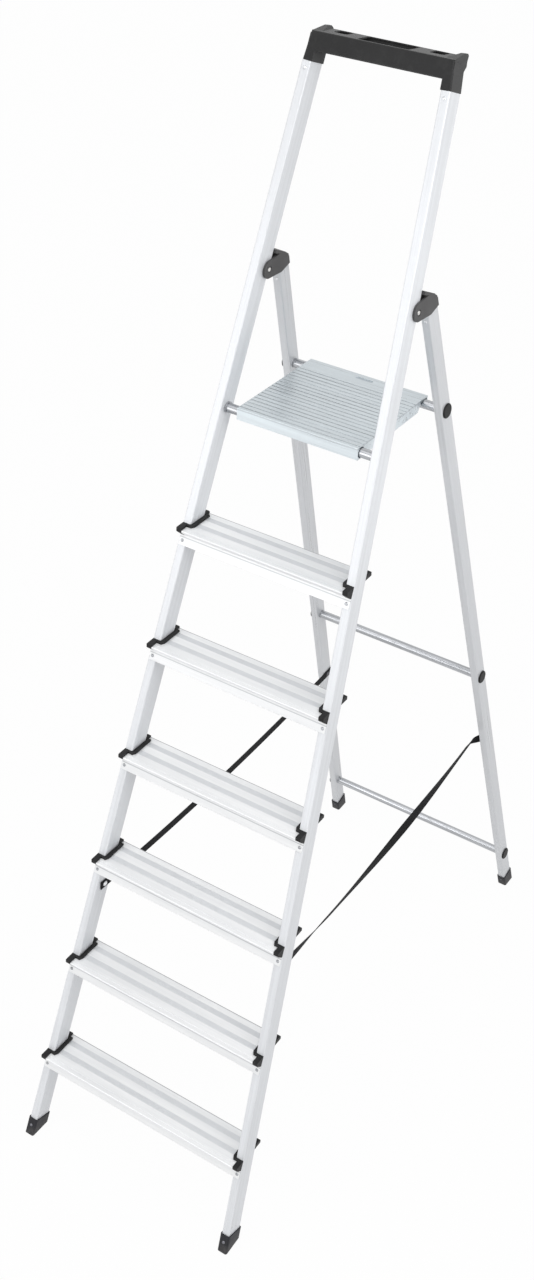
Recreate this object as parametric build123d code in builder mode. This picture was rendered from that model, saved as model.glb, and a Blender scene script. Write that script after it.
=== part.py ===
"""Folding aluminium platform step ladder, standing open on its four feet.

X runs left to right as a climber sees it, Y from the climber to the back, Z up.
The origin is on the floor, in the middle of the footprint.
"""
import os
from math import acos, atan2, cos, radians, sin, tan

from build123d import *

# Stance, in degrees: lean of the stiles and legs seen from the side, splay seen from the front
front_lean = 19.0
rear_lean = 18.2
splay = 3.0

# Hinge pins: height over the platform, and the middle of a stile from the centre line there
pivot_over_deck = 235.0
pivot_half_width = 157.3
pivot_setback = 37.7
hinge_reach = 36.8
pin_radius = 4.0
pin_head_radius = 4.6
pin_head_top = 3.8
pin_head_height = 1.4
pin_recess_radius = 6.0
pin_recess_depth = 2.0
pin_clearance = 0.06
pin_end_gap = 0.3

# Front stiles: rounded box extrusion
stile_depth = 44.0
stile_width = 18.0
stile_wall = 1.6
stile_corner = 2.5

# Rear legs: slimmer rounded box extrusion of the same width
leg_depth = 34.0
leg_wall = 1.5
leg_corner = 2.5
leg_top_below_pivot = 20.0

# Treads: places are distances behind the stile's front face at the tread's height
first_tread = 213.0
tread_rise = 235.0
step_count = 6
nose_overhang = 21.5
rear_overhang = 19.5
tread_plate = 2.4
nose_lip = 3.6
nose_bend = 4.3
nose_bend_drop = 8.6
nose_root_drop = 17.0
flange_drop = 37.0
flange_thickness = 1.8
flange_gap = 0.1
rear_skirt_height = 16.0
tread_edge_radius = 1.4
groove_width = 1.3
groove_depth = 0.7
groove_pitch = 2.5
grooves_per_band = 5
grip_band_places = (13.0, 44.0)
lip_groove_place = -11.0
tread_rib_height = 6.0
tread_rib_width = 1.8

# Plastic end pieces that wrap each stile at a tread
end_strip = 8.0
end_strip_drop = 24.0
end_strip_rear = 8.5
end_band = 3.5
end_corner = 4.0
end_nose_cap = 11.0
end_nose_proud = 0.6
end_nose_round = 2.0
end_rise = 5.0
end_edge = 1.2
end_outer_inset = 0.5
end_block_rise = 6.5
end_block_drop = 4.0
end_block_round = 3.0
lug_low = 37.0
lug_high = 19.0
lug_depth = 15.0
lug_reach = 12.0
lug_root = 4.0

# Clearance between pieces that are fitted together and do not move
fit_gap = 0.25

# Blind rivets and screws
rivet_head_radius = 3.6
rivet_head_slope = 1.2
rivet_head_height = 1.6
rivet_radius = 2.4
rivet_length = 8.0
rivet_seat_gap = 0.05
step_rivet_drop = 28.5

# Cross tubes
tube_radius = 9.5
tube_wall = 1.5
tube_hole_gap = 0.15
bead_radius = 11.5
bead_width = 3.0
middle_brace_height = 837.0
lower_brace_height = 132.0
plug_radius = 15.0
plug_height = 3.6
plug_edge = 1.6
plug_spigot = 14.0

# Platform deck, hung on the front tube and resting on the rear tube
deck_side_room = 11.1
deck_plate = 3.0
deck_channel = 12.5
deck_bore_gap = 0.08
deck_mouth_gap = 1.5
deck_mouth_depth = 9.0
deck_seat_gap = 0.3
deck_skirt_height = 24.5
deck_hook_wall = 3.0
deck_hook_gap = 0.5
deck_hook_height = 15.0
deck_edge_radius = 1.0
deck_groove_count = 18
deck_groove_pitch = 12.2
deck_groove_width = 2.2
deck_groove_depth = 1.0
deck_first_groove = 9.0
deck_stiffener_places = (65.0, 120.0, 175.0)
deck_stiffener_height = 7.0
deck_stiffener_width = 2.4
grip_recess_length = 38.0
grip_recess_width = 9.0
grip_recess_depth = 1.8
grip_recess_place = 17.0

# Rails under the deck's ends
rail_thickness = 3.0
rail_inset = 1.5
rail_flange = 13.0
rail_exit_angle = 32.0
rail_exit_gap = 2.0
rail_rivet_places = (40.0, 105.0, 170.0)
rail_rivet_length = 4.6

# Tool tray on the stile tops: heights along the stile from the hinge pin
tray_wall = 3.0
tray_proud = 0.2
tray_side_taper = 3.6
tray_inner_wall = 1.4
tray_leg_bottom = 372.5
tray_underside = 390.0
tray_front_top = 422.5
tray_rear_reach = 9.0
tray_rear_rise = 11.6
tray_rear_height = 17.0
tray_rear_slope = 9.0
tray_edge_radius = 2.5
tray_corner_radius = 4.0
tray_spigot_bottom = 340.0
tray_spigot_depth = 26.0
tray_rivet_run = 359.5
tray_horn_length = 24.0
tray_horn_fall = 12.0
tray_horn_rise = 16.0
tray_horn_ramp = 40.0
tray_horn_overhang = 3.5
tray_long_slot = 103.0
tray_long_slot_width = 44.5
tray_long_slot_setback = 26.2
tray_short_slot = 28.0
tray_short_slot_width = 27.0
tray_short_slot_setback = 34.5
tray_short_slot_place = 95.0

# Hinge brackets that cap the rear legs and straddle the front stiles
cheek = 4.2
cheek_gap = 1.0
bracket_nose = 17.2
bracket_corner = 6.0
bracket_skirt_drop = 32.0
cheek_back_inset = 4.5
bracket_wall = 2.4
bracket_stop_gap = 0.6
bracket_plate_low = 31.0
bracket_plate_high = 37.8
bracket_plate_slope = 3.0
bracket_plate_end = 46.0
bracket_back_drop = 15.0
bracket_saddle_place = 24.0
bracket_web_place = 30.0
bracket_web_drop = 10.0
bracket_spigot_drop = 70.0
bracket_spigot_depth = 24.0
bracket_rivet_drop = 54.0

# Feet: boots over the ends of the stiles and legs
foot_wall = 2.5
foot_height = 44.0
rear_foot_height = 36.0
foot_sole_edge = 2.0
foot_sole = 8.0
foot_corner = 4.0
foot_groove_width = 3.0
foot_groove_depth = 2.0
foot_groove_pitch = 9.0
foot_screw_height = 25.0
foot_screw_length = 6.0

# Spreader straps: flat webbing between the stiles' and the legs' inner faces
strap_height = 609.0
strap_width = 22.0
strap_thickness = 1.5
strap_face_gap = 0.5
strap_end = 14.0
strap_sag = 25.0
strap_front_place = 26.0
strap_rear_place = 14.0
strap_rivet_head = 6.0
strap_rivet_length = 7.0

# Angles in radians, heights of the treads, platform and pins, and the footprint centred on the origin
lean_f = radians(front_lean)
lean_r = radians(rear_lean)
flare = radians(splay)
opening = lean_f + lean_r
tread_heights = [first_tread + tread_rise * k for k in range(step_count)]
deck_top = first_tread + tread_rise * step_count
pivot_height = deck_top + pivot_over_deck
toe = -pivot_height * tan(lean_f) - (pivot_setback + foot_wall) / cos(lean_f)
heel = pivot_height * tan(lean_r) + (hinge_reach + leg_depth + foot_wall) / cos(lean_r)
pivot_y = -(toe + heel) / 2
pivot = Vector(pivot_half_width, pivot_y, pivot_height)

# Frames of the right-hand stile and leg at the pin: x across it, y to the back, z up along it
FRONT = Plane(
    origin=pivot,
    x_dir=(cos(flare), sin(flare) * sin(lean_f), sin(flare) * cos(lean_f)),
    z_dir=(-sin(flare), cos(flare) * sin(lean_f), cos(flare) * cos(lean_f)),
)
REAR = Plane(
    origin=pivot,
    x_dir=(cos(flare), -sin(flare) * sin(lean_r), sin(flare) * cos(lean_r)),
    z_dir=(-sin(flare), -cos(flare) * sin(lean_r), cos(flare) * cos(lean_r)),
)
# Side view in the stiles' lean, on the ladder's middle: x to the back, y up along the stile
FRONT_SIDE = Plane(
    origin=(0, pivot_y, pivot_height),
    x_dir=(0, cos(lean_f), -sin(lean_f)),
    z_dir=(1, 0, 0),
)

# Depths behind the pin
stile_front = -pivot_setback
stile_rear = stile_depth - pivot_setback
stile_middle = stile_depth / 2 - pivot_setback
leg_middle = hinge_reach + leg_depth / 2
half_across = stile_width / 2 / cos(flare)
rear_face = stile_depth / cos(lean_f)
tread_rear = rear_face + rear_overhang

# Distances out from the middle of a stile at the pin, and what they leave for the deck
cheek_face = stile_width / 2 + cheek_gap
cheek_out = (cheek_face + cheek) / cos(flare)
pin_floor = cheek_out - pin_recess_depth
deck_half_width = pivot_half_width - cheek_out - deck_side_room


def front_face_y(z):
    """Y of the stiles' front faces at a height."""
    return pivot_y + (z - pivot_height) * tan(lean_f) - pivot_setback / cos(lean_f)


def leg_y(z):
    """Y of the middle of the legs' depth at a height."""
    return pivot_y + (leg_middle - (z - pivot_height) * sin(lean_r)) / cos(lean_r)


def on_face(drop, proud):
    """Place in a tread's side view, at a drop below the tread and proud of the stile's front face."""
    return (-drop * tan(lean_f) - proud / cos(lean_f), -drop)


def front_run(z, depth):
    """Distance up the stile from the pin, for a height and a depth behind the pin."""
    return (z - pivot_height + depth * sin(lean_f)) / (cos(lean_f) * cos(flare))


def rear_run(z, depth):
    """Distance up the leg from the pin, for a height and a depth behind the pin."""
    return (z - pivot_height - depth * sin(lean_r)) / (cos(lean_r) * cos(flare))


def stile_x(z):
    """X of the middle of the right stile at a height."""
    return pivot_half_width - sin(flare) * front_run(z, stile_middle)


def leg_x(z):
    """X of the middle of the right leg at a height."""
    return pivot_half_width - sin(flare) * rear_run(z, leg_middle)


def front_face_plane(run):
    """Plane on the right stile's front face, on its middle line, facing the climber."""
    origin = FRONT.from_local_coords((0, stile_front, run))
    return Plane(origin=origin, x_dir=FRONT.x_dir, z_dir=-FRONT.y_dir)


def leg_face_plane(run):
    """Plane on the right leg's front face, on its middle line, facing the climber."""
    origin = REAR.from_local_coords((0, hinge_reach, run))
    return Plane(origin=origin, x_dir=REAR.x_dir, z_dir=-REAR.y_dir)


def mirrored(part):
    """The left-hand twin of a right-hand piece."""
    with BuildPart() as twin:
        mirror(part, about=Plane.YZ)
    return twin.part


def with_twin(part):
    """A right-hand group and its left-hand twin together."""
    with BuildPart() as pair:
        add(part)
        mirror(part, about=Plane.YZ)
    return pair.part


def save(part, label):
    """Label a piece and write its file."""
    part.label = label
    export_step(part, f"parts/{label}.step")


def save_both(part, name):
    """Write a right-hand piece and its left-hand twin."""
    save(mirrored(part), f"{name}_left")
    save(part, f"{name}_right")


def rivets(planes, length=rivet_length, head=rivet_head_radius):
    """Low-domed rivets: heads on the planes, shanks behind them."""
    with BuildPart() as group:
        with Locations(*planes):
            Cone(
                head,
                head - rivet_head_slope,
                rivet_head_height,
                align=(Align.CENTER, Align.CENTER, Align.MIN),
            )
            Cylinder(rivet_radius, length, align=(Align.CENTER, Align.CENTER, Align.MAX))
    return group.part


os.makedirs("parts", exist_ok=True)

# Heights and places that several pieces share
deck_under = deck_top - deck_plate
front_tube_z = deck_top - deck_channel
front_tube_y = front_face_y(front_tube_z) + rear_face / 2
rear_tube_z = deck_under - deck_seat_gap - tube_radius
rear_tube_y = leg_y(rear_tube_z)
leg_tube_heights = {
    "platform_rear": rear_tube_z,
    "middle_brace": middle_brace_height,
    "lower_brace": lower_brace_height,
}
lug_front = stile_front + stile_wall + fit_gap
lug_middle = lug_front + lug_depth / 2
lug_height = (lug_low - lug_high) / cos(lean_f)
flange_skin = flange_gap + flange_thickness
lug_runs = [front_run(z - (lug_low + lug_high) / 2, lug_middle) for z in tread_heights]
tread_rivet_runs = [front_run(z - step_rivet_drop, stile_front) for z in tread_heights]
front_screw_run = front_run(foot_screw_height, stile_front)
rear_screw_run = rear_run(foot_screw_height, hinge_reach)
strap_front = FRONT * Pos(
    -stile_width / 2,
    stile_front + strap_front_place,
    front_run(strap_height, stile_front + strap_front_place),
)
strap_rear = REAR * Pos(
    -stile_width / 2,
    hinge_reach + strap_rear_place,
    rear_run(strap_height, hinge_reach + strap_rear_place),
)

# Front stiles
stile_start = front_run(-foot_height, stile_rear)
with BuildPart() as front_stile:
    with BuildSketch(FRONT.offset(stile_start)):
        with Locations((0, stile_middle)):
            RectangleRounded(stile_width, stile_depth, stile_corner)
            RectangleRounded(
                stile_width - 2 * stile_wall,
                stile_depth - 2 * stile_wall,
                stile_corner - stile_wall,
                mode=Mode.SUBTRACT,
            )
    extrude(amount=tray_leg_bottom - fit_gap - stile_start)
    split(bisect_by=Plane.XY.offset(foot_sole), keep=Keep.TOP)
    # Hinge pin hole, right through
    with Locations(Location(pivot, (0, 90, 0))):
        Cylinder(pin_radius + pin_clearance, 4 * stile_width, mode=Mode.SUBTRACT)
    # Platform tube, through the inner wall only
    with Locations(Location((stile_x(front_tube_z), front_tube_y, front_tube_z), (0, -90, 0))):
        Cylinder(
            tube_radius + tube_hole_gap,
            2 * stile_width,
            align=(Align.CENTER, Align.CENTER, Align.MIN),
            mode=Mode.SUBTRACT,
        )
    # Windows in the inner wall for the lugs of the step end pieces
    with Locations(*[FRONT * Pos(-stile_width / 2, lug_middle, run) for run in lug_runs]):
        Box(
            3 * stile_corner,
            lug_depth + 2 * fit_gap,
            lug_height + 2 * fit_gap,
            mode=Mode.SUBTRACT,
        )
    # Rivet and screw holes in the front wall, and the strap's in the inner wall
    with Locations(*[front_face_plane(run) for run in tread_rivet_runs + [tray_rivet_run, front_screw_run]]):
        Cylinder(rivet_radius + rivet_seat_gap, 4 * stile_wall, mode=Mode.SUBTRACT)
    with Locations(strap_front * Rot(0, 90, 0)):
        Cylinder(rivet_radius + rivet_seat_gap, 4 * stile_wall, mode=Mode.SUBTRACT)
save_both(front_stile.part, "front_stile")


def end_plan(tread, grow):
    """Right-hand end piece seen from above, from its rear to its nose, on the side towards the tread."""
    face_y = front_face_y(tread)
    outer_x = stile_x(tread) + half_across - end_outer_inset
    inner_x = stile_x(tread) - half_across
    strip_x = inner_x - end_strip - grow
    strip_rear = face_y + rear_face + end_strip_rear + grow
    band_front = face_y - end_band - grow
    return [
        (inner_x - grow, strip_rear),
        (strip_x, strip_rear),
        (strip_x, band_front + end_corner + end_band),
        (strip_x + end_corner, band_front),
        (outer_x - end_nose_cap - grow, band_front),
    ]


def make_step(tread, rivet_run):
    """One extruded tread: plate with grip bands, wedge nose, front flange on the stiles and rear skirt."""
    face_y = front_face_y(tread)
    flange_half = stile_x(tread) + half_across - end_outer_inset
    outside = [
        (tread_rear, -rear_skirt_height),
        (tread_rear, 0),
        (-nose_overhang, 0),
        (-nose_overhang, -nose_lip),
        (nose_bend - nose_overhang, -nose_bend_drop),
        on_face(nose_root_drop, flange_skin),
        on_face(flange_drop, flange_skin),
        on_face(flange_drop, flange_gap),
        on_face(tread_plate, flange_gap),
        (tread_rear - tread_plate, -tread_plate),
        (tread_rear - tread_plate, -rear_skirt_height),
    ]
    chamber = [
        (1.7 * flange_thickness - nose_overhang, -tread_plate),
        on_face(tread_plate, flange_skin),
        on_face(nose_root_drop - 1.7 * flange_thickness, flange_skin),
        (nose_bend + flange_thickness - nose_overhang, 0.75 * flange_thickness - nose_bend_drop),
    ]
    groove_places = [lip_groove_place]
    for band in grip_band_places:
        first = band - (grooves_per_band - 1) / 2 * groove_pitch
        groove_places += [first + n * groove_pitch for n in range(grooves_per_band)]
    plan = end_plan(tread, fit_gap)
    beyond = (flange_half + 2 * end_strip, face_y + 2 * tread_rear, face_y - 2 * nose_overhang)
    with BuildPart() as drill:
        with Locations(front_face_plane(rivet_run)):
            Cylinder(rivet_radius + rivet_seat_gap, 8 * flange_thickness)
    with BuildPart() as step:
        with BuildSketch(Plane.YZ) as section:
            with BuildLine():
                Polyline(*[(face_y + y, tread + z) for y, z in outside], close=True)
            make_face()
            for y, z in outside[1:4]:
                corner = section.vertices().sort_by_distance((face_y + y, tread + z))[0]
                fillet(corner, tread_edge_radius)
            with BuildLine():
                Polyline(*[(face_y + y, tread + z) for y, z in chamber], close=True)
            make_face(mode=Mode.SUBTRACT)
            for place in grip_band_places:
                with Locations((face_y + place, tread - tread_plate)):
                    Rectangle(tread_rib_width, tread_rib_height, align=(Align.CENTER, Align.MAX))
            for place in groove_places:
                with Locations((face_y + place, tread)):
                    Rectangle(
                        groove_width,
                        groove_depth,
                        align=(Align.CENTER, Align.MAX),
                        mode=Mode.SUBTRACT,
                    )
        extrude(amount=flange_half, both=True)
        # Ends cut away for the stiles and their end pieces, all but the flange
        with BuildSketch(Plane.XY.offset(tread - nose_root_drop - fit_gap)):
            for side in (1, -1):
                with BuildLine():
                    Polyline(
                        (side * plan[0][0], beyond[1]),
                        *[(side * x, y) for x, y in plan],
                        (side * plan[-1][0], beyond[2]),
                        (side * beyond[0], beyond[2]),
                        (side * beyond[0], beyond[1]),
                        close=True,
                    )
                make_face()
        extrude(amount=2 * nose_root_drop, mode=Mode.SUBTRACT)
        add(with_twin(drill.part), mode=Mode.SUBTRACT)
    return step.part


def make_step_end(tread, lug_run, rivet_run):
    """Right-hand end piece: nose cap, band and strip round the stile and a block behind it in one moulding."""
    face_y = front_face_y(tread)
    outer_x = stile_x(tread) + half_across - end_outer_inset
    inner_x = stile_x(tread) - half_across
    plan = end_plan(tread, 0)
    nose = [
        (stile_corner, end_rise),
        (-nose_overhang - end_nose_proud, end_rise),
        (-nose_overhang - end_nose_proud, -nose_lip),
        (nose_bend - nose_overhang, -nose_bend_drop),
        on_face(nose_root_drop, flange_skin),
        on_face(nose_root_drop, -stile_corner),
    ]
    block = [
        (rear_face - end_block_drop, -end_block_drop),
        (tread_rear, -end_block_drop),
        (tread_rear, end_block_rise - end_block_round),
        (tread_rear - end_block_round, end_block_rise),
        (rear_face - end_block_drop, end_block_rise),
    ]
    with BuildPart() as end:
        # Band along the stile's front face and strip along its inner face
        with BuildSketch(Plane.XY.offset(tread - end_strip_drop)):
            with BuildLine():
                Polyline(
                    *plan,
                    (outer_x, plan[-1][1]),
                    (outer_x, face_y + stile_corner),
                    (inner_x + stile_corner, face_y + stile_corner),
                    (inner_x + stile_corner, plan[0][1]),
                    close=True,
                )
            make_face()
        extrude(amount=end_strip_drop + end_rise)
        chamfer(end.faces().sort_by(Axis.Z)[-1].edges(), end_edge)
        # Cap over the end of the tread's nose
        with BuildSketch(Plane.YZ.offset(outer_x - end_nose_cap)) as cap:
            with BuildLine():
                Polyline(*[(face_y + y, tread + z) for y, z in nose], close=True)
            make_face()
            for y, z in nose[1:3]:
                corner = cap.vertices().sort_by_distance((face_y + y, tread + z))[0]
                fillet(corner, end_nose_round)
        extrude(amount=end_nose_cap)
        # Block behind the stile
        with BuildSketch(Plane.YZ.offset(inner_x)):
            with BuildLine():
                Polyline(*[(face_y + y, tread + z) for y, z in block], close=True)
            make_face()
        extrude(amount=outer_x - inner_x)
        # Room for the stile
        with BuildSketch(FRONT.offset(front_run(tread - 2 * flange_drop, stile_middle))):
            with Locations((0, stile_middle)):
                RectangleRounded(stile_width + 2 * fit_gap, stile_depth + 2 * fit_gap, stile_corner)
        extrude(amount=4 * flange_drop, mode=Mode.SUBTRACT)
        # Lug through the stile's inner wall, held there by a rivet
        with Locations(FRONT * Pos(-stile_width / 2 - lug_root, lug_middle, lug_run)):
            Box(
                lug_root + stile_wall + lug_reach,
                lug_depth,
                lug_height,
                align=(Align.MIN, Align.CENTER, Align.CENTER),
            )
        with Locations(front_face_plane(rivet_run)):
            Cylinder(rivet_radius + rivet_seat_gap, 2 * stile_depth / 3, mode=Mode.SUBTRACT)
    return end.part


for number, tread in enumerate(tread_heights, start=1):
    save(make_step(tread, tread_rivet_runs[number - 1]), f"step_{number}")
    end_right = make_step_end(tread, lug_runs[number - 1], tread_rivet_runs[number - 1])
    save(mirrored(end_right), f"step_end_left_{number}")
    save(end_right, f"step_end_right_{number}")

step_rivet_planes = [front_face_plane(run).offset(flange_skin) for run in tread_rivet_runs]
save(with_twin(rivets(step_rivet_planes, rivet_length + flange_skin)), "step_rivets")

# Tube that carries the platform's front edge, with a bead against each stile
front_tube_end = stile_x(front_tube_z) + half_across - stile_wall - bead_radius * tan(flare) - fit_gap
bead_end = stile_x(front_tube_z) - half_across - bead_radius * tan(flare) - fit_gap
with BuildPart() as platform_front_tube:
    with BuildSketch(Plane.YZ):
        with Locations((front_tube_y, front_tube_z)):
            Circle(tube_radius)
            Circle(tube_radius - tube_wall, mode=Mode.SUBTRACT)
    extrude(amount=front_tube_end, both=True)
    for side in (1, -1):
        with BuildSketch(Plane.YZ.offset(side * bead_end)):
            with Locations((front_tube_y, front_tube_z)):
                Circle(bead_radius)
                Circle(tube_radius - tube_wall, mode=Mode.SUBTRACT)
        extrude(amount=-side * bead_width)
save(platform_front_tube.part, "platform_front_tube")

# Tool tray: right half, then its mirror
tray_front = stile_front - tray_proud
tray_rear = stile_rear + tray_rear_reach
tray_rear_top = tray_front_top + tray_rear_rise
tray_ledge = tray_rear_top - tray_rear_height
tray_horn_top = tray_front_top + tray_horn_rise
tray_outer_side = Plane(
    origin=FRONT.from_local_coords((stile_width / 2 + tray_proud, 0, tray_leg_bottom)),
    z_dir=FRONT.x_dir * (tray_front_top - tray_leg_bottom) + FRONT.z_dir * tray_side_taper,
)
tray_corner_plane = Plane(
    origin=FRONT.from_local_coords((stile_width / 2 + tray_proud, tray_front, tray_leg_bottom)),
    x_dir=tray_outer_side.z_dir,
    z_dir=tray_outer_side.z_dir.cross(FRONT.y_dir),
)
tray_inner_side = Plane(
    origin=FRONT.from_local_coords((-stile_width / 2 - tray_inner_wall, 0, 0)),
    z_dir=FRONT.x_dir,
)
tray_leg_x = pivot_half_width - sin(flare) * tray_front_top
tray_horn_x = tray_leg_x + half_across - tray_horn_length
tray_horn_ramp_plane = Plane(
    origin=FRONT_SIDE.from_local_coords((0, tray_front_top, tray_horn_x)),
    z_dir=FRONT_SIDE.y_dir * tray_horn_fall - FRONT_SIDE.z_dir * tray_horn_rise,
)
with BuildPart() as top_tray:
    with BuildSketch(FRONT_SIDE):
        with BuildLine():
            FilletPolyline(
                (tray_front, tray_underside),
                (tray_front, tray_front_top),
                (tray_rear, tray_rear_top),
                (tray_rear, tray_ledge),
                (stile_rear, tray_ledge - tray_rear_slope),
                (stile_rear, tray_underside),
                radius=tray_edge_radius,
                close=True,
            )
        make_face()
    extrude(amount=tray_leg_x + 2 * stile_width)
    # Raised horn at the rear corner
    with BuildSketch(FRONT_SIDE.offset(tray_horn_x)):
        with BuildLine():
            FilletPolyline(
                (tray_front + tray_wall, tray_front_top - tray_wall),
                (tray_front + tray_wall, tray_front_top),
                (tray_front + tray_horn_ramp, tray_horn_top - tray_wall / 2),
                (tray_rear, tray_horn_top),
                (tray_rear + tray_horn_overhang, tray_horn_top - tray_wall),
                (tray_rear, tray_rear_top - 3 * tray_wall),
                radius=tray_edge_radius / 2,
                close=True,
            )
        make_face()
    horn = extrude(amount=tray_horn_length + stile_width, mode=Mode.PRIVATE)
    add(split(horn, bisect_by=tray_horn_ramp_plane, keep=Keep.BOTTOM, mode=Mode.PRIVATE))
    # Hollow between the stiles, open below
    with BuildSketch(FRONT_SIDE):
        with BuildLine():
            Polyline(
                (tray_front + tray_wall, tray_underside - 4 * tray_wall),
                (tray_front + tray_wall, tray_front_top - tray_wall),
                (tray_rear - tray_wall, tray_rear_top - tray_wall),
                (tray_rear - tray_wall, tray_ledge + tray_wall / 2),
                (stile_rear - tray_wall, tray_ledge - tray_rear_slope + tray_wall / 2),
                (stile_rear - tray_wall, tray_underside - 4 * tray_wall),
                close=True,
            )
        make_face()
    hollow = extrude(amount=tray_leg_x + stile_width, mode=Mode.PRIVATE)
    add(split(hollow, bisect_by=tray_inner_side, keep=Keep.BOTTOM, mode=Mode.PRIVATE), mode=Mode.SUBTRACT)
    # Leg that stands on the stile's top end
    with BuildSketch(FRONT.offset(tray_leg_bottom)):
        with Locations((-stile_width / 2 - tray_inner_wall, tray_front)):
            Rectangle(
                stile_width + tray_inner_wall + tray_proud,
                stile_rear - tray_front,
                align=(Align.MIN, Align.MIN),
            )
    extrude(amount=tray_front_top - tray_wall - tray_leg_bottom)
    split(bisect_by=tray_outer_side, keep=Keep.BOTTOM)
    # Rounded corner between the front and the side
    with BuildSketch(tray_corner_plane):
        Rectangle(2 * tray_corner_radius, 2 * tray_corner_radius)
        with Locations((-tray_corner_radius, tray_corner_radius)):
            Circle(tray_corner_radius, mode=Mode.SUBTRACT)
    extrude(amount=2 * (tray_horn_top - tray_leg_bottom), both=True, mode=Mode.SUBTRACT)
    # Spigot down the stile's hollow, which the rivet holds
    with BuildSketch(FRONT.offset(tray_spigot_bottom)):
        with Locations((0, lug_front)):
            Rectangle(
                stile_width - 2 * stile_wall - 4 * fit_gap,
                tray_spigot_depth,
                align=(Align.CENTER, Align.MIN),
            )
    extrude(amount=tray_front_top - tray_wall - tray_spigot_bottom)
    with Locations(front_face_plane(tray_rivet_run)):
        Cylinder(rivet_radius + rivet_seat_gap, 2 * stile_depth / 3, mode=Mode.SUBTRACT)
    # Slots for tools, through the top
    for place, setback, length, width in (
        (0, tray_long_slot_setback, tray_long_slot, tray_long_slot_width),
        (tray_short_slot_place, tray_short_slot_setback, tray_short_slot, tray_short_slot_width),
    ):
        slot_origin = FRONT_SIDE.from_local_coords(
            (tray_front + setback, tray_front_top - 3 * tray_wall, place)
        )
        with BuildSketch(Plane(origin=slot_origin, x_dir=(1, 0, 0), z_dir=FRONT_SIDE.y_dir)):
            RectangleRounded(length, width, 2 * tray_edge_radius)
        extrude(amount=4 * tray_horn_rise, mode=Mode.SUBTRACT)
    mirror(about=Plane.YZ)
save(top_tray.part, "top_tray")
save(with_twin(rivets([front_face_plane(tray_rivet_run)])), "tray_rivets")

# Rear legs
leg_start = rear_run(-foot_height, hinge_reach)
with BuildPart() as rear_leg:
    with BuildSketch(REAR.offset(leg_start)):
        with Locations((0, leg_middle)):
            RectangleRounded(stile_width, leg_depth, leg_corner)
            RectangleRounded(
                stile_width - 2 * leg_wall,
                leg_depth - 2 * leg_wall,
                leg_corner - leg_wall,
                mode=Mode.SUBTRACT,
            )
    extrude(amount=-leg_top_below_pivot - leg_start)
    split(bisect_by=Plane.XY.offset(foot_sole), keep=Keep.TOP)
    # Cross tubes pass through both walls
    for height in leg_tube_heights.values():
        with Locations(Location((leg_x(height), leg_y(height), height), (0, 90, 0))):
            Cylinder(tube_radius + tube_hole_gap, 4 * stile_width, mode=Mode.SUBTRACT)
    # Rivet and screw holes in the front wall, and the strap's in the inner wall
    with Locations(leg_face_plane(-bracket_rivet_drop), leg_face_plane(rear_screw_run)):
        Cylinder(rivet_radius + rivet_seat_gap, 4 * leg_wall, mode=Mode.SUBTRACT)
    with Locations(strap_rear * Rot(0, 90, 0)):
        Cylinder(rivet_radius + rivet_seat_gap, 4 * leg_wall, mode=Mode.SUBTRACT)
save_both(rear_leg.part, "rear_leg")

# Hinge brackets: two cheeks round the stile, a stop plate, and a socket on the leg
bracket_back = hinge_reach + leg_depth


def seen_from_leg(depth, run):
    """A point given along the stile, as the leg's side view has it when the ladder is open."""
    return (
        depth * cos(opening) + run * sin(opening),
        run * cos(opening) - depth * sin(opening),
    )


stop_place = stile_rear + bracket_stop_gap
saddle_end = seen_from_leg(bracket_saddle_place, bracket_plate_low)
bracket_rear_top = seen_from_leg(bracket_plate_end, bracket_plate_high - bracket_plate_slope)


def bracket_rear(back):
    """Rear part of the bracket's side view, from the stop plate over the top and down the back."""
    return [
        seen_from_leg(stop_place, bracket_plate_low),
        seen_from_leg(stop_place, bracket_plate_high),
        bracket_rear_top,
        (back, -bracket_back_drop),
        (back, -bracket_skirt_drop),
    ]


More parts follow.
